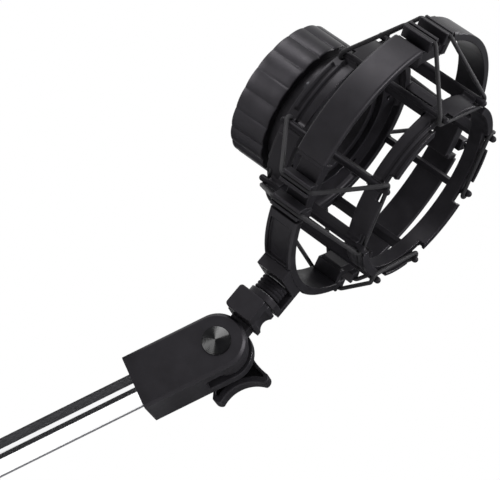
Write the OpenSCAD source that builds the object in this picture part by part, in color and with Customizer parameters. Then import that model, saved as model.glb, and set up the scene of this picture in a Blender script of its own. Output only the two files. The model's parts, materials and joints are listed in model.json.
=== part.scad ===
// Elastic shock mount for a large microphone, on the hinged head of a boom tube.
// The tube's open end is at the origin, the stem stands along +Z and the microphone axis lies along +X.

/* [Boom tube] */
// Outer radius of the boom tube
tube_r = 7; // [6:0.1:7.5]
// Wall of the boom tube
tube_wall = 1; // [0.6:0.1:1.5]
// Length of tube that shows behind the head block
tube_out = 72; // [50:1:120]
// Depth of the tube in the head block
socket_depth = 21.5; // [19:0.5:23]
// Lean of the tube from the stem, in degrees
tube_lean = 25.2; // [5:0.1:40]
// Turn of the boom about the stem from the microphone axis, in degrees
boom_turn = 3.8; // [-10:0.1:10]

/* [Head block] */
// Width of the head block, across the tube and the pivot
head_w = 23; // [21:0.5:24]
// Thickness of the head block along the pivot
head_t = 22.9; // [21:0.1:26]
// From the pivot to the rear face of the head block
head_back = 36.3; // [35:0.1:44]
// Bevel on the long edges of the head block
head_bevel = 1.2; // [0.4:0.1:2]
// Gap between the two ears
slot_w = 9.6; // [9:0.1:11]
// Gap between the tongue's eye and the floor of the slot
slot_gap = 0.7; // [0.5:0.1:1.5]
// Radius of the grub screws that hold the tube
grub_r = 2; // [1.5:0.1:2.2]
// Distance between the two grub screws
grub_pitch = 9; // [7:0.5:11]
// From the rear face to the first grub screw
grub_in = 6.5; // [5:0.5:8]

/* [Tilt hinge] */
// Radius of the pivot bolt
bolt_r = 3; // [2.5:0.1:3.4]
// Radius of the bolt head
bolt_head_r = 5; // [4.5:0.1:5.4]
// Thickness of the bolt head
bolt_head_t = 2.2; // [1.6:0.1:2.8]
// Radius of the domed cap
cap_r = 5.9; // [5.6:0.1:7]
// Height of the domed cap
cap_h = 2.6; // [1.6:0.1:3]
// Rim of the domed cap below its dome
cap_rim = 0.6; // [0.3:0.1:0.8]
// Thickness of a friction washer
washer_t = 0.8; // [0.5:0.1:1]
// Outer radius of a friction washer
washer_r = 7.6; // [6:0.1:8.2]
// Radius of the round eye of the tongue
eye_r = 10.3; // [8.4:0.1:10.5]
// Wall of the bush in the eye
bush_wall = 1.3; // [0.8:0.1:2]
// Thickness of the wing knob
wing_t = 8.2; // [7:0.1:9]
// Half length of the wings
wing_l = 15.6; // [13:0.1:18]
// Half width of the wings
wing_w = 12.1; // [11:0.1:13.5]
// Depth of the hollow in each wing end
wing_dip = 3.4; // [1:0.1:3.8]
// Depth of the waist beside the hub
wing_waist = 3.4; // [1:0.1:3.8]
// Depth of the recess in the wings, on the side of the head
wing_recess = 5; // [2:0.1:6]
// Wall beside that recess
wing_wall = 1.2; // [0.8:0.1:2]
// Wall of the recess at each wing end
wing_end = 2.6; // [2:0.1:3.2]
// Corner radius of the wings
wing_corner = 2.8; // [1.5:0.1:3]
// Turn of the wings at rest, in degrees
wing_rest = 3; // [-8:0.5:8]
// Height of the hub below the wings
hub_base = 3.4; // [2:0.1:4.5]
// Radius of the knob's hub
hub_r = 6.2; // [5.6:0.1:7]
// Height of the hub above the wings
hub_h = 2; // [1:0.1:3]
// Radius of the threaded insert in the knob
insert_r = 4.2; // [3.9:0.1:4.8]

/* [Swivel block] */
// Gap between the ears and the block above them
block_clear = 1.9; // [1.8:0.1:4]
// Height of the block
block_h = 10.2; // [9.5:0.1:12]
// Half width of the block
block_w = 6.2; // [6:0.1:7.5]
// Depth of the waisted part in front of the stem
waist_y = 7.5; // [6.5:0.1:9]
// Depth of the waisted part behind the stem
waist_back = 6.4; // [5.6:0.1:7.5]
// Depth of the hollow in each side of the waist
waist_d = 1.6; // [1:0.1:1.8]
// Thickness of the foot and the head of the waist
waist_foot = 1.8; // [1.4:0.1:2.6]
// Thickness of the square cheek in front
cheek_t = 7; // [4:0.1:8]
// Corner radius of the cheek
cheek_r = 1.4; // [0.6:0.1:2.5]
// Half width of the neck in the slot
neck_w = 4.5; // [4:0.1:5.5]

/* [Stand thread] */
// Radius of the stand thread
stud_r = 4.5; // [4:0.1:4.8]
// Radius of the stud's shank in the swivel block
shank_r = 2.6; // [2.2:0.1:3]
// Length of that shank
stud_in = 8; // [6:0.5:9]
// Pitch of the thread
stud_pitch = 1.6; // [1.2:0.1:2]
// Depth of the thread
stud_dent = 0.5; // [0.3:0.05:0.7]
// Thickness of the washer on the swivel block
stud_washer_t = 0.7; // [0.5:0.1:1]
// Radius of the captive nut
nut_r = 5.9; // [5.6:0.1:6.2]
// Depth of the grooves round the nut
nut_dent = 0.5; // [0.2:0.05:0.8]
// Number of grooves round the nut
nut_grooves = 4; // [2:1:6]

/* [Stand bracket] */
// Half width of the bracket
bracket_w = 6.6; // [6.3:0.1:8]
// Reach of the bracket's shelf to the front
shelf_front = 13; // [11:0.1:15]
// Thickness of the bracket's rear wall
bracket_wall = 3; // [2:0.1:4]
// Thickness of the bracket's floor
bracket_floor = 2.8; // [2:0.1:3.5]
// Height of the window for the nut
window_h = 7; // [6:0.1:8]
// Thickness of the shelf at the stem
shelf_t = 3.8; // [3:0.1:5]
// Radius of the bracket screws
bracket_screw_r = 1.2; // [0.8:0.1:1.5]
// From the stem to the bracket screws
bracket_screw_y = 9.8; // [9.4:0.1:10.4]

/* [Outer frame] */
// Outer radius of the outer frame
frame_r = 61.4; // [58:0.1:62.5]
// Thickness of a band
band_t = 3; // [2.4:0.1:3.6]
// Half width of a band along the microphone axis
band_w = 6.75; // [6:0.05:8]
// Bevel on the edges of a band
band_bevel = 0.7; // [0.3:0.1:1]
// Half angle of the near and far bands, in degrees
side_angle = 28.7; // [27:0.1:30]
// Turn of the near and far bands towards the top, in degrees
side_turn = 2; // [0:0.1:2.5]
// Half angle of the top and yoke bands, in degrees
end_angle = 38.5; // [37.5:0.1:39.5]
// Angle of the raised block at each end of the top and yoke bands, in degrees
block_angle = 3.5; // [2.5:0.1:6]
// Height of the raised blocks and of the yoke band's rims
band_rise = 0.8; // [0.4:0.1:1.2]
// Width of a rim of the yoke band
yoke_rim_w = 1.6; // [1:0.1:2.4]
// Angle of the wall at the inner end of the yoke's groove, in degrees
wall_angle = 1.2; // [0.8:0.1:3]
// Thickness of the web between two cord bars
web_t = 5.6; // [2:0.1:6.4]
// From the cord on the bars to the web below it
web_gap = 4; // [3:0.1:5]
// Half width of that web
web_w = 5; // [4:0.1:5.5]
// Angle of the block at each end of the web, in degrees
web_angle = 1.8; // [1.4:0.1:2]

/* [Cord bars] */
// Width of a cord bar
bar_w = 5; // [4:0.1:5.4]
// Thickness of a cord bar
bar_t = 5; // [4.4:0.1:5.6]
// Height of a cord bar above the bands
bar_out = 1.6; // [1:0.1:2]
// Gap between an end band and the bar beside it
bar_gap = 1.8; // [1.2:0.1:2.2]
// Gap between a side band and the bar beside it
bar_space = 6.5; // [5.5:0.1:7.5]
// Depth of the groove that holds the cord
groove_d = 2.2; // [1.6:0.1:2.4]

/* [Inner cage] */
// Outer radius of a cage ring
cage_r = 40.2; // [39.8:0.1:40.6]
// Wall of a cage ring
cage_wall = 3.2; // [2.6:0.1:3.4]
// From the middle of the cage to the inner edge of a ring
cage_in = 17; // [15:0.1:18]
// Width of a cage ring
cage_w = 8.8; // [8.4:0.1:10]
// Depth of the ridges round a cage ring
ridge_d = 0.9; // [0.4:0.1:1.2]
// Width of one ridge or groove
ridge_w = 1.3; // [1:0.1:1.4]
// Radius of a cage rod
rod_r = 1.4; // [1.2:0.05:1.6]
// Height of the rods above the face of the rings
rod_out = 0; // [0:0.05:0.4]
// Half angle between the two rods of a pair, in degrees
pair_angle = 19.6; // [18.6:0.2:20.6]
// Half length of a cage rod
rod_half = 27.3; // [27:0.1:30]
// Thickness of the fin that stiffens a cage rod between the rings
fin_w = 2.4; // [1.6:0.1:2.6]
// Step from the rings' bore to the inner edge of the fin
fin_step = 0.4; // [0.2:0.1:2]
// Depth of the notch at a rod
notch_d = 2.9; // [2.6:0.1:3.4]
// Half width of the notch at a rod
notch_w = 5.5; // [5.2:0.1:6]
// Thickness of the lip between the two notches of a pair
lip_t = 1.2; // [0.8:0.1:1.3]
// Width of the rib that carries a rod
rib_w = 3.4; // [3:0.1:4]
// Thickness of the web in the rear ring
cage_web_t = 2.6; // [2:0.1:3.4]

/* [Elastic rings] */
// Radius of the cord
cord_r = 0.9; // [0.7:0.05:1]
// From the cord to the rod or bar that it goes round
cord_gap = 0.2; // [0.15:0.05:0.3]
// From the floor of the notch to the cord on a rod
cord_rod_w = 1.7; // [1.6:0.05:2]

/* [Clamp] */
// Step from the rear ring's bore to the clamp neck's bore
neck_step = 13.4; // [13:0.1:14.5]
// Wall of the clamp neck
neck_wall = 2.8; // [2.4:0.1:3.2]
// Step from the rear ring's bore to the clamp neck's flange
flange_step = 1.8; // [1.7:0.1:4]
// Thickness of the flange
flange_t = 3.2; // [2.6:0.1:4]
// Length of the clamp neck behind the flange
neck_l = 20; // [18:0.1:22]
// Number of fingers of the clamp neck
fingers = 6; // [4:1:8]
// Width of the slits between the fingers
slit_w = 2; // [1:0.1:3]
// Length of the slits
slit_l = 12; // [11:0.1:12.5]
// Thickness of a grip pad
pad_t = 1.3; // [0.8:0.1:2]
// Length of a grip pad
pad_l = 11; // [8:0.1:12]
// From the end of the fingers to the grip pads
pad_in = 2; // [1:0.1:3]
// Taper of the finger ends in radius
taper_r = 1.5; // [1:0.1:1.8]
// Taper of the finger ends in length
taper_l = 3.5; // [3:0.1:4.5]
// Radius of the neck screws
neck_screw_r = 1.2; // [0.8:0.1:1.5]
// From the clamp neck to the middle of a neck screw
screw_step = 4.6; // [4:0.1:5]

/* [Locking collar] */
// Wall of the locking collar
collar_wall = 4.3; // [3.1:0.1:5]
// Length of the locking collar
collar_l = 17; // [15.5:0.1:18]
// From the flange to the front edge of the collar
collar_gap = 7.3; // [6.6:0.1:8]
// Number of ribs round the collar
collar_ribs = 20; // [14:1:26]
// Depth of the hollows between the ribs
rib_d = 0.7; // [0.4:0.1:1.2]
// Radius of each hollow
rib_hollow = 2.6; // [1.8:0.1:3.4]
// Thickness of the wedge ring
wedge_t = 0.9; // [0.6:0.1:1.1]
// Length of the wedge ring
wedge_l = 4.6; // [4:0.1:5]
// Thickness of the rim that closes the collar
rim_t = 1.6; // [1.2:0.1:2]
// Width of the rim that closes the collar
rim_w = 3.4; // [2:0.1:4]

/* [Fits] */
// Clearance of pieces that turn or slide in each other, on the radius
run_gap = 0.05; // [0.02:0.01:0.08]
// Clearance of pieces that are fixed in each other, on the radius
fix_gap = 0.02; // [0.01:0.01:0.05]
// Gap between faces that pass each other
face_gap = 0.1; // [0.05:0.05:0.3]
// Gap between pieces that must stay clear
free_gap = 0.4; // [0.3:0.05:0.5]

/* [Hidden] */
$fn = 72;
over = 1;
black = [0.10, 0.10, 0.11];
soft_black = [0.14, 0.14, 0.15];
steel = [0.62, 0.62, 0.64];
chrome = [0.82, 0.82, 0.84];
brass = [0.75, 0.62, 0.32];
rubber = [0.07, 0.07, 0.07];

// Tilt hinge
pivot_run = tube_out + head_back;
tongue_t = slot_w - 2 * (washer_t + 2 * face_gap);
slot_back = eye_r + slot_gap;
ear_face = head_t / 2;
knob_y = ear_face + free_gap;
hub_all = hub_base + wing_t + hub_h;
bush_r = bolt_r + run_gap + bush_wall;

// Stem, as heights above the pivot
block_z = head_w / 2 + block_clear;
block_top = block_z + block_h;
floor_z = block_top + stud_washer_t + face_gap;
window_z = floor_z + bracket_floor;
shelf_z = window_z + window_h;
cradle_d = shelf_z + shelf_t + frame_r;
stud_top = shelf_z + shelf_t - free_gap;
nut_h = window_h - 2 * free_gap;
wall_y = nut_r + free_gap;
bore_r = stud_r + run_gap;
saddle_z = cradle_d - sqrt(pow(frame_r, 2) - pow(shelf_front, 2));

// Outer frame
band_in = frame_r - band_t;
bar_face = frame_r + bar_out;
bar_c = bar_face - bar_t / 2;
cord_bed = bar_face - groove_d;
cord_at = cord_r + cord_gap;
web_r = cord_bed - web_gap - web_t;
end_bar = end_angle + asin((bar_w / 2 + bar_gap) / bar_c);
side_bar = side_angle + asin((bar_w / 2 + bar_space) / bar_c);
yoke_flat = asin((shelf_front + 0.6) / frame_r);

// Inner cage
rod_c = cage_r + rod_r + rod_out;
ring_end = cage_in + cage_w;
notch_floor = ring_end - notch_d;
cage_bore = cage_r - cage_wall;
rod_z = notch_floor + cord_rod_w;
bar_bend = atan2(cord_bed - rod_c, rod_z - band_w);
quarters = [45, 135, 225, 315];
rod_angles = [for (a = quarters) for (s = [-1, 1]) a + s * pair_angle];

// Clamp, along the microphone axis behind the middle of the cage
neck_bore = cage_bore - neck_step;
neck_r = neck_bore + neck_wall;
flange_r = cage_bore - flange_step;
neck_screw_pcd = neck_r + screw_step;
collar_r = neck_r + collar_wall;
flange_back = -ring_end - flange_t;
neck_end = flange_back - neck_l;
collar_front = flange_back - collar_gap;
collar_back = collar_front - collar_l;
undercut_r = neck_r + wedge_t;
wedge_front = neck_end + taper_l - free_gap;
cone_rise = taper_r / taper_l;

// Places
module on_boom(z) rotate([0, tube_lean, boom_turn]) translate([0, 0, z]) children();
module on_hinge(z = 0) on_boom(pivot_run) rotate([0, -tube_lean, 0]) translate([0, 0, z]) children();
module on_stem(z = 0) on_hinge(z) rotate([0, 0, -boom_turn]) children();
module on_cradle() on_stem(cradle_d) rotate([0, 90, 0]) children();

// Shapes that repeat
module along_y(h) rotate([90, 0, 0]) linear_extrude(height = h, center = true) children();
module tube_ring(ro, ri, z0, z1) translate([0, 0, z0]) difference() {
    cylinder(r = ro, h = z1 - z0);
    translate([0, 0, -over]) cylinder(r = ri, h = z1 - z0 + 2 * over);
}
module arc_of(a0, a1) rotate([0, 0, a0]) rotate_extrude(angle = a1 - a0) children();
module rounded(w, h, r) {
    translate([-w, r]) square([2 * w, h - 2 * r]);
    translate([-w + r, 0]) square([2 * (w - r), h]);
    for (x = [-w + r, w - r]) for (y = [r, h - r]) translate([x, y]) circle(r = r);
}
module bevelled(w, t, c) polygon([[-w + c, -t], [w - c, -t], [w, -t + c], [w, t - c],
    [w - c, t], [-w + c, t], [-w, t - c], [-w, -t + c]]);

// Boom tube with open ends
module boom_tube() color(chrome) on_boom(0) tube_ring(tube_r, tube_r - tube_wall, 0, tube_out + socket_depth);

// Grub screws in the upper side of the head block
module grub_places() on_boom(tube_out + grub_in) for (i = [0, 1]) translate([0, 0, i * grub_pitch])
    rotate([0, -90, 0]) children();
module tube_screws() color(steel) grub_places() difference() {
    translate([0, 0, tube_r + face_gap]) cylinder(r = grub_r, h = head_w / 2 - tube_r - face_gap - 0.5);
    translate([0, 0, head_w / 2 - 0.5 - grub_r * 0.8]) cylinder(r = grub_r * 0.55, h = grub_r, $fn = 6);
}

// Clevis with a socket for the tube
module head_block() color(black) difference() {
    on_boom(pivot_run) {
        translate([0, 0, -head_back]) linear_extrude(height = head_back)
            bevelled(head_w / 2, ear_face, head_bevel);
        rotate([90, 0, 0]) rotate_extrude() intersection() {
            bevelled(head_w / 2, ear_face, head_bevel);
            translate([0, -head_t]) square([head_w, 2 * head_t]);
        }
    }
    on_boom(pivot_run) translate([-head_w, -slot_w / 2, -slot_back])
        cube([2 * head_w, slot_w, slot_back + head_w]);
    on_boom(tube_out - over) cylinder(r = tube_r + fix_gap, h = socket_depth + fix_gap + over);
    on_boom(pivot_run) rotate([90, 0, 0])
        cylinder(r = bolt_r + fix_gap, h = head_t + 2 * over, center = true);
    on_boom(pivot_run) translate([0, -ear_face + bolt_head_t, 0]) rotate([90, 0, 0])
        cylinder(r = bolt_head_r + fix_gap, h = bolt_head_t + over);
    grub_places() cylinder(r = grub_r + fix_gap, h = head_w / 2 + over);
}

// Bolt through the ears, its head let into the near ear
module pivot_bolt() color(steel) on_boom(pivot_run) rotate([-90, 0, 0]) {
    translate([0, 0, -ear_face]) cylinder(r = bolt_head_r, h = bolt_head_t);
    translate([0, 0, -ear_face]) cylinder(r = bolt_r, h = ear_face + knob_y + hub_all - 0.6);
}

// Domed cap over the bolt head
module pivot_cap() color(soft_black) on_boom(pivot_run) translate([0, -ear_face, 0]) rotate([90, 0, 0]) {
    dome = cap_h - cap_rim;
    ball = (pow(cap_r, 2) + pow(dome, 2)) / (2 * dome);
    cylinder(r = cap_r, h = cap_rim);
    intersection() {
        translate([0, 0, cap_h - ball]) sphere(r = ball);
        cylinder(r = cap_r, h = cap_h + over);
    }
}

// Washers between the ears and the tongue
module friction_washers() color(steel) on_boom(pivot_run) rotate([90, 0, 0]) for (s = [-1, 1])
    translate([0, 0, s * (tongue_t / 2 + face_gap + washer_t / 2)])
    tube_ring(washer_r, bolt_r + fix_gap, -washer_t / 2, washer_t / 2);

// Two-winged clamp knob on the far ear
module wing_outline(end = 0, side = 0) difference() {
    translate([0, side - wing_w]) rounded(wing_l - end, 2 * (wing_w - side), wing_corner);
    for (s = [-1, 1]) {
        dip = (pow(wing_w - wing_corner, 2) + pow(wing_dip, 2)) / (2 * wing_dip);
        translate([s * (wing_l + dip - wing_dip), 0]) circle(r = dip + end);
        bow = (pow(wing_l - wing_corner, 2) + pow(wing_waist, 2)) / (2 * wing_waist);
        translate([0, s * (wing_w + bow - wing_waist)]) circle(r = bow + side);
    }
}
module on_knob() on_boom(pivot_run) translate([0, knob_y, 0]) rotate([-90, 0, 0])
    rotate([0, 0, wing_rest]) children();
module wing_knob() color(black) on_knob() difference() {
    union() {
        translate([0, 0, hub_base]) difference() {
            linear_extrude(height = wing_t) wing_outline();
            translate([0, 0, -over]) linear_extrude(height = wing_recess + over) wing_outline(wing_end, wing_wall);
        }
        cylinder(r = hub_r, h = hub_all);
    }
    translate([0, 0, -over]) cylinder(r = insert_r + fix_gap, h = hub_all + 2 * over, $fn = 6);
}
module wing_insert() color(brass) on_knob() difference() {
    cylinder(r = insert_r, h = hub_all - 0.3, $fn = 6);
    translate([0, 0, -over]) cylinder(r = bolt_r + run_gap, h = hub_all + 2 * over);
}

// Tongue with its eye in the clevis, a waisted block above it and a square cheek in front
module swivel_block() color(black) difference() {
    on_hinge() {
        along_y(tongue_t) {
            circle(r = eye_r);
            translate([-neck_w, 0]) square([2 * neck_w, block_z + over]);
        }
        translate([0, (waist_back - waist_y) / 2, 0]) along_y(waist_y + waist_back) difference() {
            translate([-block_w, block_z]) square([2 * block_w, block_h]);
            waist_bow = (pow(block_h / 2 - waist_foot, 2) + pow(waist_d, 2)) / (2 * waist_d);
            for (s = [-1, 1]) translate([s * (block_w - waist_d + waist_bow), block_z + block_h / 2])
                circle(r = waist_bow);
        }
        translate([0, -waist_y - cheek_t / 2, block_z]) along_y(cheek_t) rounded(block_w, block_h, cheek_r);
    }
    on_hinge() rotate([90, 0, 0]) cylinder(r = bush_r + fix_gap, h = 2 * tongue_t, center = true);
    on_hinge(block_top - stud_in) cylinder(r = shank_r + fix_gap, h = stud_in + over);
}
module pivot_bush() color(brass) on_hinge() rotate([90, 0, 0])
    tube_ring(bush_r, bolt_r + run_gap, -tongue_t / 2, tongue_t / 2);

// Stand thread fixed in the swivel block
module thread_stud() color(steel) on_hinge() {
    turns = floor((stud_top - window_z) / stud_pitch);
    translate([0, 0, block_top - stud_in]) cylinder(r = shank_r, h = stud_in + over);
    translate([0, 0, block_top]) cylinder(r = stud_r, h = stud_top - block_top - turns * stud_pitch);
    for (i = [1:turns]) translate([0, 0, stud_top - i * stud_pitch]) rotate_extrude()
        polygon([[0, 0], [stud_r, 0], [stud_r, stud_pitch * 0.2], [stud_r - stud_dent, stud_pitch * 0.5],
            [stud_r, stud_pitch * 0.8], [stud_r, stud_pitch], [0, stud_pitch]]);
}
module stud_washer() color(steel) on_hinge()
    tube_ring(nut_r, stud_r + fix_gap, block_top, block_top + stud_washer_t);

// C-shaped bracket that turns on the stand thread and carries the outer frame
module bracket_screw_places() on_stem() for (s = [-1, 1])
    translate([s * bracket_w * 0.55, -bracket_screw_y, shelf_z]) children();
module stand_bracket() color(black) difference() {
    on_stem() {
        translate([0, 0, floor_z]) linear_extrude(height = bracket_floor) {
            circle(r = bracket_w);
            translate([-bracket_w, 0]) square([2 * bracket_w, wall_y + bracket_wall / 2]);
        }
        translate([-bracket_w, wall_y, floor_z]) cube([2 * bracket_w, bracket_wall, saddle_z - floor_z]);
        translate([-bracket_w, -shelf_front, shelf_z])
            cube([2 * bracket_w, shelf_front + wall_y + bracket_wall, saddle_z - shelf_z]);
    }
    on_cradle() cylinder(r = frame_r + fix_gap, h = 4 * bracket_w, center = true);
    on_stem(floor_z - over) cylinder(r = bore_r, h = stud_top - floor_z + over);
    bracket_screw_places() {
        translate([0, 0, -over]) cylinder(r = bracket_screw_r + fix_gap, h = saddle_z - shelf_z + 2 * over);
        translate([0, 0, -over]) cylinder(r = 2 * bracket_screw_r + fix_gap, h = bracket_screw_r + over);
    }
}
module bracket_screws() color(steel) bracket_screw_places() difference() {
    union() {
        cylinder(r = bracket_screw_r, h = saddle_z - shelf_z + band_t / 2);
        cylinder(r = 2 * bracket_screw_r, h = bracket_screw_r);
    }
    translate([0, 0, -over]) cylinder(r = bracket_screw_r * 0.9, h = over + bracket_screw_r * 0.6, $fn = 6);
}
module captive_nut() color(soft_black) on_stem(window_z + free_gap) difference() {
    step = nut_h / nut_grooves;
    for (i = [0:nut_grooves - 1]) translate([0, 0, i * step]) rotate_extrude()
        polygon([[0, 0], [nut_r - nut_dent, 0], [nut_r, step * 0.25], [nut_r, step * 0.75],
            [nut_r - nut_dent, step], [0, step]]);
    translate([0, 0, -over]) cylinder(r = bore_r, h = nut_h + 2 * over);
}

// Bands of the outer frame, in a ring round the microphone axis
module band_section(r) polygon([[band_in, -band_w], [r - band_bevel, -band_w], [r, -band_w + band_bevel],
    [r, band_w - band_bevel], [r - band_bevel, band_w], [band_in, band_w]]);
module groove_section(r, w) translate([r, -w]) square([3 * band_rise, 2 * w]);
module band(mid, half) on_cradle() arc_of(mid - half, mid + half) band_section(frame_r);
module near_band() color(black) band(270 - side_turn, side_angle);
module far_band() color(black) band(90 + side_turn, side_angle);
module top_band() color(black) on_cradle() difference() {
    low = end_angle - block_angle;
    arc_of(180 - end_angle, 180 + end_angle) band_section(frame_r + band_rise);
    arc_of(180 - low, 180 + low) groove_section(frame_r, 2 * band_w);
}
module yoke_band() color(black) difference() {
    on_cradle() arc_of(-end_angle, end_angle) band_section(frame_r + band_rise);
    on_cradle() arc_of(-yoke_flat, yoke_flat) groove_section(frame_r, 2 * band_w);
    on_cradle() for (s = [0, 1]) mirror([0, s, 0])
        arc_of(yoke_flat + wall_angle, end_angle - block_angle)
        groove_section(frame_r - band_rise, band_w - yoke_rim_w);
    bracket_screw_places()
        cylinder(r = bracket_screw_r + fix_gap, h = saddle_z - shelf_z + band_t / 2 + fix_gap);
}

// Recessed bridge between two bands, with a pair of grooved bars for the cord
module cord_bar() difference() {
    translate([-bar_t / 2, -bar_w / 2, -band_w]) cube([bar_t, bar_w, 2 * band_w]);
    translate([cord_bed - bar_c, -cord_at, -2 * band_w]) cube([bar_t, 2 * cord_at, 4 * band_w]);
}
module between(a, b) arc_of(min(a, b), max(a, b)) children();
module hook_bridge(end, side, end_p, side_p) color(black) on_cradle() {
    way = side > end ? 1 : -1;
    half = way * web_angle / 2;
    block_half = band_w - band_bevel;
    block_in = web_r + web_t / 4;
    block_t = band_in + band_t / 2 - block_in;
    between(end + half, side - half) translate([web_r, -web_w]) square([web_t, 2 * web_w]);
    between(end, end_p - half) translate([block_in, -block_half]) square([block_t, 2 * block_half]);
    between(side - 2 * half, side) translate([block_in, -block_half]) square([block_t, 2 * block_half]);
    for (p = [end_p, side_p]) rotate([0, 0, p]) {
        translate([web_r + web_t / 2, -bar_w * 0.3, -web_w * 0.9])
            cube([bar_c - web_r - web_t / 2, bar_w * 0.6, 1.8 * web_w]);
        translate([bar_c, 0, 0]) cord_bar();
    }
}
module hook_bridge_1() hook_bridge(end_angle, 90 + side_turn - side_angle, end_bar, 90 - side_bar);
module hook_bridge_2()
    hook_bridge(180 - end_angle, 90 + side_turn + side_angle, 180 - end_bar, 90 + side_bar);
module hook_bridge_3()
    hook_bridge(180 + end_angle, 270 - side_turn - side_angle, 180 + end_bar, 270 - side_bar);
module hook_bridge_4()
    hook_bridge(360 - end_angle, 270 - side_turn + side_angle, 360 - end_bar, 270 + side_bar);

// Rods along the microphone axis, with round ends and a fin between the rings
module rod_places() for (a = rod_angles) rotate([0, 0, a]) translate([rod_c, 0, 0]) children();
module cage_rods() color(black) on_cradle() rod_places() {
    cylinder(r = rod_r, h = 2 * (rod_half - rod_r), center = true);
    for (s = [-1, 1]) translate([0, 0, s * (rod_half - rod_r)]) sphere(r = rod_r);
    fin_d = rod_c - cage_bore - fin_step;
    fin_l = cage_in - face_gap;
    translate([-fin_d, -fin_w / 2, -fin_l]) cube([fin_d, fin_w, 2 * fin_l]);
}

// Ridged ring with a notch at each rod and a lip between the notches of a pair
module cage_ring() difference() {
    union() {
        low = cage_r - ridge_d;
        rotate_extrude() polygon([[cage_bore, cage_in], [cage_r, cage_in],
            for (i = [2, 0]) for (p = [[cage_r, 2], [low, 1.75], [low, 1], [cage_r, 0.75]])
                [p[0], ring_end - (i + p[1]) * ridge_w],
            [cage_r, ring_end], [cage_bore, ring_end]]);
        for (a = quarters) arc_of(a - pair_angle, a + pair_angle)
            translate([cage_bore, cage_in]) square([cage_wall, cage_w]);
        rod_places() translate([cage_bore + cage_wall / 2 - rod_c, -rib_w / 2, cage_in])
            cube([rod_c - cage_bore - cage_wall / 2 + rod_r / 4, rib_w, notch_floor - cage_in]);
    }
    for (a = quarters) arc_of(a - pair_angle, a + pair_angle) translate([cage_bore - over, notch_floor])
        square([cage_wall + over - lip_t, notch_d + over]);
    rod_places() translate([-cage_wall - rod_c + cage_bore, -notch_w, notch_floor])
        cube([4 * cage_wall, 2 * notch_w, notch_d + over]);
    rod_places() translate([0, 0, cage_in - over]) cylinder(r = rod_r + fix_gap, h = cage_w + 2 * over);
}
module neck_screw_places() for (i = [0:fingers - 1]) rotate([0, 0, (i + 0.5) * 360 / fingers])
    translate([neck_screw_pcd, 0, flange_back]) children();
module front_cage_ring() color(soft_black) on_cradle() cage_ring();
module rear_cage_ring() color(soft_black) on_cradle() {
    mirror([0, 0, 1]) cage_ring();
    difference() {
        tube_ring(cage_bore + cage_wall / 4, neck_r + free_gap, -notch_floor, cage_web_t - notch_floor);
        neck_screw_places() cylinder(r = neck_screw_r + fix_gap, h = flange_t + notch_d + 2 * cage_web_t);
    }
}

// Split clamp neck behind the rear ring
module clamp_neck() color(black) on_cradle() difference() {
    rotate_extrude() polygon([[neck_bore, neck_end], [neck_r - taper_r, neck_end],
        [neck_r, neck_end + taper_l], [neck_r, flange_back], [flange_r, flange_back],
        [flange_r, -notch_floor], [neck_bore, -notch_floor]]);
    for (i = [0:fingers - 1]) rotate([0, 0, i * 360 / fingers]) translate([0, -slit_w / 2, neck_end - over])
        cube([neck_r + over, slit_w, slit_l + over]);
    neck_screw_places() translate([0, 0, -over])
        cylinder(r = neck_screw_r + fix_gap, h = flange_t + notch_d + 2 * over);
}
module neck_screws() color(steel) on_cradle() neck_screw_places() difference() {
    union() {
        cylinder(r = neck_screw_r, h = flange_t + notch_d + cage_web_t / 2);
        translate([0, 0, -1.4 * neck_screw_r]) cylinder(r = 2 * neck_screw_r, h = 1.4 * neck_screw_r);
    }
    translate([0, 0, -1.4 * neck_screw_r - over])
        cylinder(r = neck_screw_r, h = over + 0.8 * neck_screw_r, $fn = 6);
}
module grip_pads() color(rubber) on_cradle() for (i = [0:fingers - 1]) {
    spare = asin((slit_w / 2 + free_gap) / (neck_bore - pad_t));
    arc_of(i * 360 / fingers + spare, (i + 1) * 360 / fingers - spare)
        translate([neck_bore - pad_t, neck_end + pad_in]) square([pad_t, pad_l]);
}

// Wedge ring that the collar presses along over the tapered finger ends
module wedge_ring() color(steel) on_cradle() {
    back = wedge_front - wedge_l;
    top = undercut_r - run_gap;
    cone = neck_r + taper_r * 0.3;
    rotate_extrude() polygon([[cone - cone_rise * wedge_l, back], [top, back],
        [top, wedge_front], [cone, wedge_front]]);
}

// Ribbed collar on the neck's thread, closed by a rim at the back
module locking_collar() color(soft_black) on_cradle() difference() {
    translate([0, 0, collar_back]) cylinder(r = collar_r, h = collar_l);
    translate([0, 0, collar_back - over]) cylinder(r = neck_r + run_gap, h = collar_l + 2 * over);
    translate([0, 0, collar_back - over]) cylinder(r = undercut_r, h = wedge_front - collar_back + 2 * over);
    for (i = [0:collar_ribs - 1]) rotate([0, 0, (i + 0.5) * 360 / collar_ribs])
        translate([collar_r + rib_hollow - rib_d, 0, collar_back - over])
        cylinder(r = rib_hollow, h = collar_l + 2 * over);
}
module collar_rim() color(soft_black) on_cradle()
    tube_ring(undercut_r - fix_gap, undercut_r - rim_w, collar_back, collar_back + rim_t);

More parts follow.
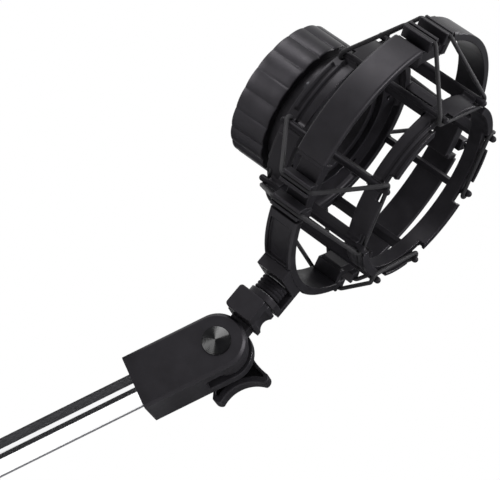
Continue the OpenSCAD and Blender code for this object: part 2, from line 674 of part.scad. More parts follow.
// Elastic ring: one closed cord along two bars and round four rod ends
function at_angle(r, a) = [r * cos(a), r * sin(a)];
function out_angle(c, r, i, j) = atan2(c[j][1] - c[i][1], c[j][0] - c[i][0]) - 90
    + asin((r[i] - r[j]) / norm(c[j] - c[i]));
function turn_of(a, b) = (b - a) - 360 * floor((b - a) / 360);
function unit(v) = v / norm(v);
function reversed(v) = [for (i = [len(v) - 1:-1:0]) v[i]];
function rod_turn(c, r, k, z, m) =
    let (a = out_angle(c, r, (k + 3) % 4, k), b = out_angle(c, r, k, (k + 1) % 4), t = turn_of(a, b))
    [for (j = [0:m]) let (p = c[k] + at_angle(r[k], a + t * j / m)) [p[0], p[1], z]];
function bar_turn(a, s, m) = [for (j = [0:m])
    let (t = bar_bend * j / m, p = at_angle(cord_bed + cord_at * cos(t), a))
    [p[0], p[1], s * (band_w + cord_at * sin(t))]];
module cord_loop(path, hint, sides) {
    n = len(path);
    pts = [for (i = [0:n - 1])
        let (along = unit(unit(path[(i + 1) % n] - path[i]) + unit(path[i] - path[(i + n - 1) % n])),
            side = unit(cross(along, hint)), up = cross(side, along))
        for (j = [0:sides - 1]) path[i] + cord_r * (cos(j * 360 / sides) * side + sin(j * 360 / sides) * up)];
    faces = [for (i = [0:n - 1]) for (j = [0:sides - 1])
        let (a = i * sides + j, b = i * sides + (j + 1) % sides,
            c = ((i + 1) % n) * sides + (j + 1) % sides, d = ((i + 1) % n) * sides + j)
        for (f = [[a, b, c], [a, c, d]]) f];
    polyhedron(points = pts, faces = faces, convexity = 8);
}
module elastic(quarter, p0, p1) color(rubber) on_cradle() {
    rod_at = rod_r + cord_at;
    c = [at_angle(bar_face, p0), at_angle(bar_face, p1),
        at_angle(rod_c, quarter + pair_angle), at_angle(rod_c, quarter - pair_angle)];
    r = [0, 0, rod_at, rod_at];
    path = concat(reversed(bar_turn(p1, -1, 4)), bar_turn(p1, 1, 4),
        rod_turn(c, r, 2, rod_z, 6), rod_turn(c, r, 3, rod_z, 6),
        reversed(bar_turn(p0, 1, 4)), bar_turn(p0, -1, 4),
        reversed(rod_turn(c, r, 3, -rod_z, 6)), reversed(rod_turn(c, r, 2, -rod_z, 6)));
    lean = at_angle(0.68, quarter + 57);
    cord_loop(path, [lean[0], lean[1], 0.73], 8);
}
module elastic_1() elastic(45, end_bar, 90 - side_bar);
module elastic_2() elastic(135, 90 + side_bar, 180 - end_bar);
module elastic_3() elastic(225, 180 + end_bar, 270 - side_bar);
module elastic_4() elastic(315, 270 + side_bar, 360 - end_bar);

boom_tube();
tube_screws();
head_block();
pivot_bolt();
pivot_cap();
friction_washers();
wing_knob();
wing_insert();
swivel_block();
pivot_bush();
thread_stud();
stud_washer();
stand_bracket();
bracket_screws();
captive_nut();
yoke_band();
near_band();
far_band();
top_band();
hook_bridge_1();
hook_bridge_2();
hook_bridge_3();
hook_bridge_4();
cage_rods();
front_cage_ring();
rear_cage_ring();
clamp_neck();
neck_screws();
grip_pads();
wedge_ring();
locking_collar();
collar_rim();
elastic_1();
elastic_2();
elastic_3();
elastic_4();
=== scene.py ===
import json
import math

import bmesh
import bpy
from mathutils import Matrix, Vector

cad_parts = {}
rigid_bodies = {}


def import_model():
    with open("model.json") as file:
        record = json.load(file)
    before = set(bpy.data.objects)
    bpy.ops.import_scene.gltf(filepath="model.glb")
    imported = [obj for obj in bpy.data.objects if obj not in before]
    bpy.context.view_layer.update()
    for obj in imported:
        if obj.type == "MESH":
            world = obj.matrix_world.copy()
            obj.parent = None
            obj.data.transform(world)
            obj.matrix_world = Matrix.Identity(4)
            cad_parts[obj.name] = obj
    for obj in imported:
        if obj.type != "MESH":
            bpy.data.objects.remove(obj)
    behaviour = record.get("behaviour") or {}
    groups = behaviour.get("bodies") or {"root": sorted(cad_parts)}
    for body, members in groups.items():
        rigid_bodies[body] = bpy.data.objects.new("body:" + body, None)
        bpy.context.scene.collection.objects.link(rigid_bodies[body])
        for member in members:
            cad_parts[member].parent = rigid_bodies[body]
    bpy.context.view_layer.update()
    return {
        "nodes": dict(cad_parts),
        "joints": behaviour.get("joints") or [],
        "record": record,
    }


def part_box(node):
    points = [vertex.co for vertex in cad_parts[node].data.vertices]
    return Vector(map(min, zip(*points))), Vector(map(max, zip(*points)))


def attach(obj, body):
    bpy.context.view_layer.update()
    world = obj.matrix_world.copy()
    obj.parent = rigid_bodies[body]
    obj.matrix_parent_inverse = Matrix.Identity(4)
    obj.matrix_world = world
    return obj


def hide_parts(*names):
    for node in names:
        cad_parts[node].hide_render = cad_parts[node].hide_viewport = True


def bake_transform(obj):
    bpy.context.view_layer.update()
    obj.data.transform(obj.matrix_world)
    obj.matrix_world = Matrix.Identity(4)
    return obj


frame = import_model()
joints = {joint["name"]: joint for joint in frame["joints"]}
bodies = frame["record"]["behaviour"]["bodies"]
slots = {entry["node"]: entry["material_slot"] for entry in frame["record"]["subparts"]}
print("frame loaded:", len(frame["nodes"]), "nodes")

mm = 0.001
pivot = Vector(joints["head_tilt"]["pos_m"])
hingeAxis = Vector(joints["head_tilt"]["axis"]).normalized()
cradleCentre = Vector(joints["cage_float"]["pos_m"])
boomAxis = pivot.normalized()  # the tube starts at the origin


def addObject(name, data):
    thing = bpy.data.objects.new(name, data)
    bpy.context.scene.collection.objects.link(thing)
    return thing


# camera at the photograph's angle, image taken as 500 by 480
cameraLook = {
    "place": (0.3263209, -0.705624, 0.0337126),
    "right": (0.7405, 0.2195, 0.6352),
    "up": (-0.5495, -0.3466, 0.7602),
    "lens": 139.44,
    "sensor": 36.0,
    "clipStart": 0.01,
}


def makeCamera(look):
    right = Vector(look["right"]).normalized()
    up = Vector(look["up"])
    up = (up - right * up.dot(right)).normalized()
    back = right.cross(up)
    data = bpy.data.cameras.new("photoCamera")
    data.lens = look["lens"]
    data.sensor_width = look["sensor"]
    data.sensor_fit = "HORIZONTAL"
    data.clip_start = look["clipStart"]
    camera = addObject("photoCamera", data)
    turn = Matrix((right, up, back)).transposed().to_4x4()
    camera.matrix_world = Matrix.Translation(Vector(look["place"])) @ turn
    bpy.context.scene.camera = camera
    return right, up, back


imageRight, imageUp, towardCamera = makeCamera(cameraLook)
print("camera placed")


# node helpers
def newMaterial(name):
    material = bpy.data.materials.new(name)
    material.use_nodes = True
    tree = material.node_tree
    return material, tree, tree.nodes["Principled BSDF"]


def addNode(tree, kind, values=None, **settings):
    node = tree.nodes.new(kind)
    for key, value in settings.items():
        setattr(node, key, value)
    for key, value in (values or {}).items():
        node.inputs[key].default_value = value
    return node


def objectNoise(tree, coords, scale, detail=3.0, roughness=0.55):
    values = {"Scale": scale, "Detail": detail, "Roughness": roughness}
    noise = addNode(tree, "ShaderNodeTexNoise", values)
    tree.links.new(coords, noise.inputs["Vector"])
    return noise.outputs["Fac"]


def spread(tree, value, low, high, fromLow=0.3, fromHigh=0.7):
    node = addNode(tree, "ShaderNodeMapRange",
                   {"From Min": fromLow, "From Max": fromHigh, "To Min": low, "To Max": high})
    tree.links.new(value, node.inputs["Value"])
    return node.outputs["Result"]


# each colour is a tuple or another node's output
def mixColours(tree, share, first, second):
    node = addNode(tree, "ShaderNodeMix", data_type="RGBA")
    for socket, colour in ((node.inputs[6], first), (node.inputs[7], second)):  # 6 and 7 take colours
        if isinstance(colour, tuple):
            socket.default_value = (*colour, 1)
        else:
            tree.links.new(colour, socket)
    tree.links.new(share, node.inputs[0])
    return node.outputs[2]  # the mixed colour


def bumped(tree, height, strength, distance, normal=None):
    node = addNode(tree, "ShaderNodeBump", {"Strength": strength, "Distance": distance})
    tree.links.new(height, node.inputs["Height"])
    if normal is not None:
        tree.links.new(normal, node.inputs["Normal"])
    return node.outputs["Normal"]


# 1 at an edge, 0 on a flat face, with the rounded normal
def edgeShare(tree, radius, reach):
    rounded = addNode(tree, "ShaderNodeBevel", {"Radius": radius}, samples=6)
    surface = addNode(tree, "ShaderNodeNewGeometry")
    dot = addNode(tree, "ShaderNodeVectorMath", operation="DOT_PRODUCT")
    tree.links.new(rounded.outputs["Normal"], dot.inputs[0])
    tree.links.new(surface.outputs["Normal"], dot.inputs[1])
    return spread(tree, dot.outputs["Value"], 1.0, 0.0, 1.0 - reach, 1.0), rounded.outputs["Normal"]


# moulded black plastic: fine spark-eroded grain, handling marks, and edges painted paler as a highlight
def mouldedPlastic(name, look):
    material, tree, shader = newMaterial(name)
    coords = addNode(tree, "ShaderNodeTexCoord").outputs["Object"]
    grain = objectNoise(tree, coords, look["grainScale"], detail=2.0)
    marks = objectNoise(tree, coords, look["markScale"], detail=4.0)
    edge, roundedNormal = edgeShare(tree, look["edgeWidth"], look["edgeReach"])
    base = mixColours(tree, spread(tree, marks, 0, 1), look["dark"], look["pale"])
    # painted highlight: a paler base colour on the rounded edges stands in for light caught there
    tree.links.new(mixColours(tree, edge, base, look["edge"]), shader.inputs["Base Color"])
    handled = addNode(tree, "ShaderNodeMix", {3: look["polish"]}, data_type="FLOAT")  # edges rub smooth
    tree.links.new(edge, handled.inputs[0])
    tree.links.new(spread(tree, marks, look["gloss"], look["matt"]), handled.inputs[2])
    tree.links.new(handled.outputs[0], shader.inputs["Roughness"])
    grained = bumped(tree, grain, look["grainDepth"], look["grainHeight"], roundedNormal)
    tree.links.new(grained, shader.inputs["Normal"])
    shader.inputs["Specular IOR Level"].default_value = look["specular"]
    shader.inputs["Specular Tint"].default_value = (*look["tint"], 1)
    return material


# plated or turned metal: drawn streaks along one axis and a little tarnish
def drawnMetal(name, look, axis=None):
    material, tree, shader = newMaterial(name)
    coords = addNode(tree, "ShaderNodeTexCoord").outputs["Object"]
    if axis is not None:
        upright = Vector((0, 0, 1))
        turn = addNode(tree, "ShaderNodeVectorRotate", rotation_type="AXIS_ANGLE")
        turn.inputs["Axis"].default_value = axis.cross(upright).normalized()
        turn.inputs["Angle"].default_value = axis.angle(upright)
        tree.links.new(coords, turn.inputs["Vector"])
        coords = turn.outputs["Vector"]
    stretch = addNode(tree, "ShaderNodeVectorMath", {1: look["stretch"]}, operation="MULTIPLY")
    tree.links.new(coords, stretch.inputs[0])
    streaks = objectNoise(tree, stretch.outputs["Vector"], look["streakScale"])
    tarnish = objectNoise(tree, coords, look["tarnishScale"], detail=4.0)
    colour = mixColours(tree, spread(tree, tarnish, 0, 1), look["dark"], look["pale"])
    tree.links.new(colour, shader.inputs["Base Color"])
    tree.links.new(spread(tree, streaks, look["gloss"], look["matt"]), shader.inputs["Roughness"])
    drawn = bumped(tree, streaks, look["streakDepth"], look["streakHeight"])
    tree.links.new(drawn, shader.inputs["Normal"])
    shader.inputs["Metallic"].default_value = 1.0
    return material


# turned glossy cap: rings from the lathe spread the light into two fans
def turnedGloss(name, look):
    material, tree, shader = newMaterial(name)
    coords = addNode(tree, "ShaderNodeTexCoord").outputs["Object"]
    marks = objectNoise(tree, coords, look["markScale"], detail=4.0)
    tree.links.new(mixColours(tree, spread(tree, marks, 0, 1), look["dark"], look["pale"]),
                   shader.inputs["Base Color"])
    tree.links.new(spread(tree, marks, look["gloss"], look["matt"]), shader.inputs["Roughness"])
    tangent = addNode(tree, "ShaderNodeTangent", direction_type="RADIAL", axis="Y")
    tree.links.new(tangent.outputs["Tangent"], shader.inputs["Tangent"])
    shader.inputs["Anisotropic"].default_value = look["fan"]
    shader.inputs["Anisotropic Rotation"].default_value = look["fanTurn"]
    shader.inputs["Specular IOR Level"].default_value = look["specular"]
    return material


# elastic cord: fine knitted sleeve along the cord's own length
def knittedCord(name, look):
    material, tree, shader = newMaterial(name)
    along = addNode(tree, "ShaderNodeUVMap", uv_map="cordLength").outputs["UV"]
    waves = []
    for lean in (look["lean"], -look["lean"]):
        turned = addNode(tree, "ShaderNodeMapping", {"Rotation": (0, 0, lean)})
        tree.links.new(along, turned.inputs["Vector"])
        values = {"Scale": look["knit"], "Distortion": look["waver"]}
        wave = addNode(tree, "ShaderNodeTexWave", values, bands_direction="X")
        tree.links.new(turned.outputs["Vector"], wave.inputs["Vector"])
        waves.append(wave.outputs["Fac"])
    knit = addNode(tree, "ShaderNodeMath", operation="MAXIMUM")
    tree.links.new(waves[0], knit.inputs[0])
    tree.links.new(waves[1], knit.inputs[1])
    coords = addNode(tree, "ShaderNodeTexCoord").outputs["Object"]
    lint = objectNoise(tree, coords, look["lintScale"], detail=4.0)
    tree.links.new(mixColours(tree, spread(tree, lint, 0, 1), look["dark"], look["pale"]),
                   shader.inputs["Base Color"])
    tree.links.new(spread(tree, lint, look["gloss"], look["matt"]), shader.inputs["Roughness"])
    knitted = bumped(tree, knit.outputs["Value"], look["depth"], look["knitHeight"])
    tree.links.new(knitted, shader.inputs["Normal"])
    shader.inputs["Specular IOR Level"].default_value = look["specular"]
    shader.inputs["Sheen Weight"].default_value = look["sheen"]
    shader.inputs["Sheen Roughness"].default_value = look["sheenRoughness"]
    return material


# moulded plastic; its edge colour is a painted highlight along the rounded edges
plasticLook = {
    "dark": (0.006, 0.0057, 0.0068), "pale": (0.010, 0.0095, 0.0113), "edge": (0.02, 0.0192, 0.0222),
    "grainScale": 2600, "grainDepth": 0.25, "grainHeight": 0.00006, "markScale": 160,
    "edgeWidth": 0.0007, "edgeReach": 0.25, "gloss": 0.36, "matt": 0.48, "polish": 0.18,
    "specular": 0.2, "tint": (0.97, 0.92, 1.0),
}
ringLook = dict(plasticLook, gloss=0.34, matt=0.46, specular=0.16)
collarLook = dict(plasticLook, matt=0.44)
rodLook = dict(plasticLook, polish=0.3, specular=0.1)
nutLook = dict(plasticLook, gloss=0.55, matt=0.7, polish=0.5, specular=0.06)
rubberLook = dict(plasticLook, dark=(0.012, 0.012, 0.012), pale=(0.02, 0.02, 0.02), gloss=0.6, matt=0.75,
                  polish=0.55, specular=0.25, grainDepth=0.4)
chromeLook = {
    "dark": (0.9, 0.9, 0.91), "pale": (0.97, 0.97, 0.98), "tarnishScale": 90,
    "stretch": (1, 1, 0.02), "streakScale": 2400, "streakDepth": 0.04, "streakHeight": 0.00003,
    "gloss": 0.04, "matt": 0.1,
}
steelLook = dict(chromeLook, dark=(0.5, 0.5, 0.52), pale=(0.66, 0.66, 0.68), stretch=(1, 1, 0.2),
                 gloss=0.24, matt=0.4)
brassLook = dict(steelLook, dark=(0.62, 0.46, 0.2), pale=(0.78, 0.62, 0.3))
blackSteelLook = dict(steelLook, dark=(0.02, 0.02, 0.022), pale=(0.035, 0.035, 0.038), gloss=0.34, matt=0.5)
capLook = {
    "dark": (0.0005, 0.0005, 0.00055), "pale": (0.0008, 0.0008, 0.0009), "markScale": 300,
    "gloss": 0.16, "matt": 0.24, "fan": 0.5, "fanTurn": 0.25, "specular": 0.04,  # fans lie across the rings
}
cordLook = {
    "dark": (0.007, 0.0066, 0.0078), "pale": (0.013, 0.0123, 0.0145), "lintScale": 500,
    "knit": 9.0, "lean": 0.6, "waver": 0.3, "depth": 0.3, "knitHeight": 0.0001,
    "gloss": 0.46, "matt": 0.6, "sheen": 0.03, "sheenRoughness": 0.4, "specular": 0.2,
}

finishes = {
    "black_plastic": mouldedPlastic("blackPlastic", plasticLook),
    "ring_plastic": mouldedPlastic("ringPlastic", ringLook),
    "collar_plastic": mouldedPlastic("collarPlastic", collarLook),
    "rod_plastic": mouldedPlastic("rodPlastic", rodLook),
    "nut_plastic": mouldedPlastic("nutPlastic", nutLook),
    "gloss_black": turnedGloss("capGloss", capLook),
    "chrome": drawnMetal("tubeChrome", chromeLook, boomAxis),
    "steel": drawnMetal("zincSteel", steelLook),
    "brass": drawnMetal("plainBrass", brassLook),
    "black_steel": drawnMetal("blackSteel", blackSteelLook),
    "rubber": mouldedPlastic("softRubber", rubberLook),
    "cord": knittedCord("elasticCord", cordLook),
}
ownFinish = {"captive_nut": "nut_plastic", "cage_rods": "rod_plastic"}
for node in ("neck_screws", "bracket_screws", "tube_screws", "stud_washer"):
    ownFinish[node] = "black_steel"  # blackened, to match the plastic round them


def dress(piece, finish):
    piece.data.materials.clear()
    piece.data.materials.append(finishes[finish])


for node, piece in frame["nodes"].items():
    dress(piece, ownFinish.get(node, slots[node]))
print("finishes made:", len(finishes))


# mesh helpers
def bodyOf(node):
    return next(name for name, members in bodies.items() if node in members)


def settle(piece, finish):
    dress(piece, finish)
    for face in piece.data.polygons:
        face.use_smooth = True


def standFor(piece, node, finish):
    settle(piece, finish)
    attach(piece, bodyOf(node))
    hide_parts(node)


def newPiece(name, verts, faces):
    mesh = bpy.data.meshes.new(name)
    mesh.from_pydata([tuple(v) for v in verts], [], faces)
    mesh.validate()
    return addObject(name, mesh)


# four-sided faces between two rings of points
def ringFaces(first, second, count):
    return [(first + i, first + (i + 1) % count, second + (i + 1) % count, second + i) for i in range(count)]


edgeShape = {
    "merge": 0.000002, "mergeAfter": 0.000001,  # metres
    "flat": 0.5, "sharp": 28, "shadedSharp": 40,  # degrees
    "segments": 3, "profile": 0.5,
}


# a CAD node with its edges broken as a mould would leave them
def softEdged(node, name, width, finish, shape):
    mesh = frame["nodes"][node].data.copy()
    mesh.name = name
    work = bmesh.new()
    work.from_mesh(mesh)
    bmesh.ops.remove_doubles(work, verts=work.verts, dist=shape["merge"])
    flat, sharp = math.radians(shape["flat"]), math.radians(shape["sharp"])
    bmesh.ops.dissolve_limit(work, angle_limit=flat, verts=work.verts, edges=work.edges)
    edges = [e for e in work.edges if len(e.link_faces) == 2 and e.calc_face_angle() > sharp]
    bmesh.ops.bevel(work, geom=edges, offset=width, offset_type="OFFSET", segments=shape["segments"],
                    profile=shape["profile"], affect="EDGES", clamp_overlap=True)
    bmesh.ops.remove_doubles(work, verts=work.verts, dist=shape["mergeAfter"])
    bmesh.ops.recalc_face_normals(work, faces=work.faces)
    work.to_mesh(mesh)
    work.free()
    piece = addObject(name, mesh)
    standFor(piece, node, finish)
    mesh.set_sharp_from_angle(angle=math.radians(shape["shadedSharp"]))
    weigh = piece.modifiers.new("flatFaces", "WEIGHTED_NORMAL")
    weigh.keep_sharp = True


# places round the cradle's axis: angle 0 is at the stem, 90 on the far side
def onCradle(radius, angle, along):
    turn = math.radians(angle)
    return cradleCentre + Vector((along, radius * math.sin(turn), -radius * math.cos(turn))) * mm


# soft-edged pieces of the frame, the head and the cage, widths in millimetres
edgeWidths = {
    "near_band": 0.45, "far_band": 0.45, "top_band": 0.45, "yoke_band": 0.3,
    "hook_bridge_1": 0.3, "hook_bridge_2": 0.3, "hook_bridge_3": 0.3, "hook_bridge_4": 0.3,
    "stand_bracket": 0.35, "swivel_block": 0.35, "head_block": 0.4, "wing_knob": 0.5,
    "front_cage_ring": 0.2, "rear_cage_ring": 0.2,
}
for node, width in edgeWidths.items():
    words = node.split("_")
    name = words[0] + "".join(word.capitalize() for word in words[1:])
    softEdged(node, name, width * mm, "ring_plastic" if "ring" in node else "black_plastic", edgeShape)
print("soft-edged pieces:", len(edgeWidths))


# locking collar with broad crowned ribs
collarShape = {
    "front": -36.3, "back": -53.3, "outer": 30.7, "bore": 26.45, "recess": 27.3, "recessFront": -44.9,
    "ribs": 20, "perRib": 24, "groove": 0.95, "crown": 0.75, "grooveShare": 0.14, "taper": 0.45,
    "endRound": 0.7, "roundSteps": 5, "bodySteps": 6, "sharp": 50,
}


def ribDepth(share, shape):
    side = abs(share * 2 - 1)  # 0 at the middle of a rib, 1 in the groove
    depth = shape["crown"] * side * side
    start = 1 - shape["grooveShare"]
    if side > start:
        step = (side - start) / shape["grooveShare"]
        depth += (shape["groove"] - shape["crown"]) * step * step * (3 - 2 * step)
    return depth


# stations from the full radius to an end face: place along the axis, radius, share of the ribs
def roundedEnd(end, inward, shape):
    rounding, arc = shape["endRound"], []
    for i in range(shape["roundSteps"] + 1):
        turn = math.pi / 2 * i / shape["roundSteps"]
        along = end + inward * rounding * (1 - math.sin(turn))
        arc.append((along, shape["outer"] - rounding * (1 - math.cos(turn)), 1.0))
    return arc


def makeCollar(shape):
    front, back, rounding = shape["front"], shape["back"], shape["endRound"]
    bodyRun = front - back - 2 * rounding
    stations = [(front, shape["bore"], 0.0)] + roundedEnd(front, -1, shape)[::-1]
    for i in range(1, shape["bodySteps"]):
        stations.append((front - rounding - bodyRun * i / shape["bodySteps"], shape["outer"], 1.0))
    stations += roundedEnd(back, 1, shape)
    stations += [(back, shape["recess"], 0.0), (shape["recessFront"], shape["recess"], 0.0),
                 (shape["recessFront"], shape["bore"], 0.0)]
    count = shape["ribs"] * shape["perRib"]
    verts, faces = [], []
    for along, radius, ribShare in stations:
        for i in range(count):
            depth = ribDepth((i / shape["perRib"] + 0.5) % 1.0, shape) * ribShare
            depth *= 1 - shape["taper"] * (front - along) / (front - back)
            verts.append(onCradle(radius - depth, i * 360 / count, along))
    total = len(stations)
    for s in range(total):
        faces += ringFaces(s * count, (s + 1) % total * count, count)
    piece = newPiece("lockingCollar", verts, faces)
    standFor(piece, "locking_collar", "collar_plastic")
    piece.data.set_sharp_from_angle(angle=math.radians(shape["sharp"]))


makeCollar(collarShape)


# low conical cap with fine rings from the lathe
capShape = {
    "radius": 5.9, "height": 2.6, "rim": 0.6, "round": 0.35, "bulge": 0.15,
    "rings": 9, "ringDepth": 0.02, "perRing": 6, "around": 96, "sharp": 60,
}


def makeCap(shape):
    base = (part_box("pivot_cap")[0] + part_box("pivot_cap")[1]) / 2
    base = pivot + hingeAxis * (base - pivot).dot(hingeAxis) + hingeAxis * shape["height"] / 2 * mm
    out = -hingeAxis
    side = out.cross(Vector((0, 0, 1))).normalized()
    upright = side.cross(out)
    dome = shape["height"] - shape["rim"]
    ball = (shape["radius"] ** 2 + dome ** 2) / (2 * dome)
    steps = shape["rings"] * shape["perRing"]
    profile = [(shape["radius"], 0.0), (shape["radius"], shape["rim"] - shape["round"] / 2)]
    for i in range(steps):
        radius = (shape["radius"] - shape["round"] / 2) * (1 - i / steps)
        cone = shape["height"] - dome * radius / shape["radius"]
        domed = shape["height"] - ball + math.sqrt(ball ** 2 - radius ** 2)
        height = cone + (domed - cone) * shape["bulge"]
        wave = 0.5 - 0.5 * math.cos(2 * math.pi * shape["rings"] * i / steps)
        profile.append((radius, height - shape["ringDepth"] * wave))
    around = shape["around"]
    verts, faces = [], []
    for radius, height in profile:
        for i in range(around):
            turn = 2 * math.pi * i / around
            spoke = side * math.cos(turn) + upright * math.sin(turn)
            verts.append(base + spoke * radius * mm + out * height * mm)
    for s in range(len(profile) - 1):
        faces += ringFaces(s * around, (s + 1) * around, around)
    last = (len(profile) - 1) * around
    verts.append(base + out * shape["height"] * mm)
    faces += [(last + i, last + (i + 1) % around, len(verts) - 1) for i in range(around)]
    faces.append(tuple(range(around - 1, -1, -1)))
    piece = newPiece("pivotCap", verts, faces)
    standFor(piece, "pivot_cap", "gloss_black")
    piece.data.set_sharp_from_angle(angle=math.radians(shape["sharp"]))


makeCap(capShape)
print("collar and cap made")


# elastic rings: one endless cord along two bars and round four rod ends
cordShape = {
    "cord": 0.9, "bed": 60.8, "lift": 1.1, "barHalf": 6.75,
    "rodRadius": 41.6, "rodTurn": 2.5, "rodAlong": 24.6, "rodHalf": 19.6,
    "points": 320, "sides": 14, "smoothing": 2, "rodSteps": 10, "barSteps": 6,
    "hintOut": 0.68, "hintTurn": 57, "hintAlong": 0.73,
    "rings": {"1": (45, 42.58, 52.75), "2": (135, 127.25, 137.42),
              "3": (225, 222.58, 232.75), "4": (315, 307.25, 317.42)},
}


def roundPoint(radius, degrees):
    turn = math.radians(degrees)
    return radius * Vector((math.cos(turn), math.sin(turn)))


# where the cord leaves one round for the next, as an angle on the first
def leavingAngle(centres, turns, first, second):
    run = centres[second] - centres[first]
    return math.atan2(run.y, run.x) - math.pi / 2 + math.asin((turns[first] - turns[second]) / run.length)


def rodBend(centres, turns, k, along, steps):
    arrive = leavingAngle(centres, turns, (k + 3) % 4, k)
    sweep = (leavingAngle(centres, turns, k, (k + 1) % 4) - arrive) % (2 * math.pi)
    bend = []
    for j in range(steps + 1):
        angle = arrive + sweep * j / steps
        point = centres[k] + turns[k] * Vector((math.cos(angle), math.sin(angle)))
        bend.append(Vector((point.x, point.y, along)))
    return bend


def barBend(shape, angle, sign):
    fall = math.atan2(shape["bed"] - shape["rodRadius"], shape["rodAlong"] - shape["barHalf"])
    bend = []
    for j in range(shape["barSteps"] + 1):
        turn = fall * j / shape["barSteps"]
        point = roundPoint(shape["bed"] + shape["lift"] * math.cos(turn), angle)
        bend.append(Vector((point.x, point.y, sign * (shape["barHalf"] + shape["lift"] * math.sin(turn)))))
    return bend


# the closed path again with evenly spaced points, and its length
def evenPath(path, count, smoothing):
    runs = [(path[(i + 1) % len(path)] - path[i]).length for i in range(len(path))]
    total, even, passed, i = sum(runs), [], 0.0, 0
    for k in range(count):
        want = total * k / count
        while passed + runs[i] < want:
            passed += runs[i]
            i += 1
        share = (want - passed) / runs[i]
        even.append(path[i].lerp(path[(i + 1) % len(path)], share))
    for _ in range(smoothing):
        even = [even[k] * 0.5 + (even[k - 1] + even[(k + 1) % count]) * 0.25 for k in range(count)]
    return even, total


def cordPath(shape, quarter, barA, barB):
    barRadius, rodRadius, rodHalf = shape["bed"] + shape["lift"], shape["rodRadius"], shape["rodHalf"]
    centres = [roundPoint(barRadius, barA), roundPoint(barRadius, barB),
               roundPoint(rodRadius, quarter + rodHalf), roundPoint(rodRadius, quarter - rodHalf)]
    turns = [0.0, 0.0, shape["rodTurn"], shape["rodTurn"]]
    front, back = ([rodBend(centres, turns, k, along, shape["rodSteps"]) for k in (2, 3)]
                   for along in (shape["rodAlong"], -shape["rodAlong"]))
    path = barBend(shape, barB, -1)[::-1] + barBend(shape, barB, 1) + front[0] + front[1]
    path += barBend(shape, barA, 1)[::-1] + barBend(shape, barA, -1) + back[1][::-1] + back[0][::-1]
    return evenPath(path, shape["points"], shape["smoothing"])


def makeCord(number, shape):
    quarter, barA, barB = shape["rings"][number]
    path, total = cordPath(shape, quarter, barA, barB)
    count, sides = shape["points"], shape["sides"]
    hint = roundPoint(shape["hintOut"], quarter + shape["hintTurn"]).to_3d()
    hint += Vector((0, 0, shape["hintAlong"]))  # never along the cord
    verts, faces = [], []
    for k in range(count):
        ahead = (path[(k + 1) % count] - path[k - 1]).normalized()
        side = ahead.cross(hint).normalized()
        rise = side.cross(ahead)
        for j in range(sides):
            turn = 2 * math.pi * j / sides
            point = path[k] + (side * math.cos(turn) + rise * math.sin(turn)) * shape["cord"]
            verts.append(cradleCentre + Vector((point.z, point.y, -point.x)) * mm)
    for k in range(count):
        faces += ringFaces(k * sides, (k + 1) % count * sides, sides)
    piece = newPiece("cord" + number, verts, faces)
    lengthMap = piece.data.uv_layers.new(name="cordLength")
    for face in piece.data.polygons:
        for corner, vertex in zip(face.loop_indices, face.vertices):
            k, j = divmod(vertex, sides)
            k += count if face.index // sides == count - 1 and k == 0 else 0
            j += sides if face.index % sides == sides - 1 and j == 0 else 0
            lengthMap.data[corner].uv = (k * total / count, j * 2 * math.pi * shape["cord"] / sides)
    settle(piece, "cord")
    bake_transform(piece)
    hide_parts("elastic_" + number)


for number in cordShape["rings"]:
    makeCord(number, cordShape)
print("elastic rings made")


# pale floor and plain studio light
stageLook = {
    "floorHeight": -0.06, "floorSize": 1.8, "floorColour": (0.86, 0.86, 0.86), "floorRoughness": 0.9,
    "cloudScale": 3.0, "cloudShade": 0.99, "fill": 0.3,
}


def makeFloor(look):
    half = look["floorSize"] / 2
    z = look["floorHeight"]
    corners = [(-half, -half, z), (half, -half, z), (half, half, z), (-half, half, z)]
    floor = newPiece("floor", corners, [(0, 1, 2, 3)])
    material, tree, shader = newMaterial("paleFloor")
    coords = addNode(tree, "ShaderNodeTexCoord").outputs["Object"]
    cloud = objectNoise(tree, coords, look["cloudScale"])
    tone = look["floorColour"]
    shade = tuple(c * look["cloudShade"] for c in tone)
    tree.links.new(mixColours(tree, cloud, tone, shade), shader.inputs["Base Color"])
    shader.inputs["Roughness"].default_value = look["floorRoughness"]
    floor.data.materials.append(material)


# white where the camera, metal or glass looks past the object, softer as a fill
def makeSky(look):
    world = bpy.data.worlds.new("studio")
    bpy.context.scene.world = world
    world.use_nodes = True
    tree = world.node_tree
    ground = tree.nodes["Background"]
    ground.inputs["Color"].default_value = (1, 1, 1, 1)
    path = addNode(tree, "ShaderNodeLightPath")
    seen = path.outputs["Is Camera Ray"]
    for ray in ("Is Glossy Ray", "Is Transmission Ray"):
        either = addNode(tree, "ShaderNodeMath", operation="MAXIMUM")
        tree.links.new(seen, either.inputs[0])
        tree.links.new(path.outputs[ray], either.inputs[1])
        seen = either.outputs["Value"]
    strength = addNode(tree, "ShaderNodeMapRange", {"To Min": look["fill"], "To Max": 1.0})
    tree.links.new(seen, strength.inputs["Value"])
    tree.links.new(strength.outputs["Result"], ground.inputs["Strength"])


# dark cards, seen only in reflections
# angles about the tube, in degrees from the camera towards the image's top
cardLooks = {
    "upperCard": {"from": 52, "to": 170, "radius": 0.055, "start": -0.03, "end": 0.075, "tone": 0.05},
    "middleCard": {"from": -4, "to": 25, "radius": 0.055, "start": -0.03, "end": 0.068, "tone": 0.05},
    "edgeCard": {"from": -118, "to": -176, "radius": 0.055, "start": -0.03, "end": 0.075, "tone": 0.16},
    "lowCard": {"from": -118, "to": -175, "radius": 0.2, "start": 0.05, "end": 0.4, "tone": 0.05},
}
flagLooks = {
    "leftFlag": {"right": -0.66, "up": -0.55, "near": -0.5, "distance": 0.3, "half": 0.17, "tone": 0.05},
}


def towards(look):
    return (imageRight * look["right"] + imageUp * look["up"] + towardCamera * look["near"]).normalized()


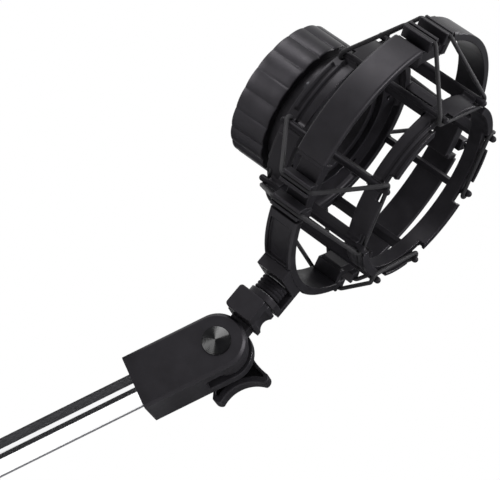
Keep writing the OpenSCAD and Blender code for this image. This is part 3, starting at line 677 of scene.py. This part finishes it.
def darkCard(name, verts, faces, tone, cool=1.06):
    card = newPiece(name, verts, faces)
    material, _, shader = newMaterial(name)
    shader.inputs["Base Color"].default_value = (tone, tone, tone * cool, 1)
    shader.inputs["Roughness"].default_value = 1.0
    shader.inputs["Specular IOR Level"].default_value = 0.0
    card.data.materials.append(material)
    for ray in ("camera", "diffuse", "shadow", "transmission", "volume_scatter"):
        setattr(card, "visible_" + ray, False)


def makeCard(name, look, steps=24):
    near = (towardCamera - boomAxis * towardCamera.dot(boomAxis)).normalized()
    over = boomAxis.cross(near)
    over = over if over.dot(imageUp) > 0 else -over
    verts = []
    for i in range(steps + 1):
        turn = math.radians(look["from"] + (look["to"] - look["from"]) * i / steps)
        side = (near * math.cos(turn) + over * math.sin(turn)) * look["radius"]
        verts += [side + boomAxis * look["start"], side + boomAxis * look["end"]]
    faces = [(2 * i, 2 * i + 1, 2 * i + 3, 2 * i + 2) for i in range(steps)]
    darkCard(name, verts, faces, look["tone"])


def makeFlag(name, look):
    way = towards(look)
    middle = cradleCentre + way * look["distance"]
    across = way.cross(imageUp).normalized()
    rise = across.cross(way)
    half = look["half"]
    corners = [(-half, -half), (half, -half), (half, half), (-half, half)]
    verts = [middle + across * a + rise * b for a, b in corners]
    darkCard(name, verts, [(0, 1, 2, 3)], look["tone"])


# soft lamps: directions as seen in the image, three of them for one piece only
lampLooks = {
    "keySoftbox": {"right": -0.15, "up": 0.95, "near": 0.2, "distance": 0.75,
                   "size": (0.5, 0.3), "power": 4.5},
    "rimStrip": {"right": 0.8, "up": 0.45, "near": -0.4, "distance": 0.8,
                 "size": (0.35, 0.2), "power": 2.2},
    "sideStrip": {"right": 0.9, "up": 0.08, "near": 0.45, "distance": 0.7,
                  "size": (0.08, 0.4), "power": 6.0},
    "capStrip": {"right": 0.04, "up": 0.9, "near": 0.43, "distance": 0.25,
                 "size": (0.17, 0.17), "power": 5.4, "only": "pivotCap", "aim": pivot},
    "capGlow": {"right": -0.68, "up": 0.15, "near": 0.71, "distance": 0.25,
                "size": (0.2, 0.2), "power": 5.0, "only": "pivotCap", "aim": pivot},
    "collarStrip": {"right": -0.8, "up": 0.5, "near": 0.33, "distance": 0.5,
                    "size": (0.1, 0.25), "power": 2.0, "only": "lockingCollar"},
}


def makeLamp(name, look):
    data = bpy.data.lights.new(name, "AREA")
    data.shape = "RECTANGLE"
    data.size, data.size_y = look["size"]
    data.energy = look["power"]
    lamp = addObject(name, data)
    way = towards(look)
    lamp.location = look.get("aim", cradleCentre) + way * look["distance"]
    lamp.rotation_euler = way.to_track_quat("Z", "Y").to_euler()
    if "only" in look:
        lit = bpy.data.collections.new(name + "Lit")
        lit.objects.link(bpy.data.objects[look["only"]])
        lamp.light_linking.receiver_collection = lit


makeFloor(stageLook)
makeSky(stageLook)
for name, look in cardLooks.items():
    makeCard(name, look)
for name, look in flagLooks.items():
    makeFlag(name, look)
for name, look in lampLooks.items():
    makeLamp(name, look)
bpy.context.scene.view_settings.view_transform = "Standard"
print("stage and lamps ready")
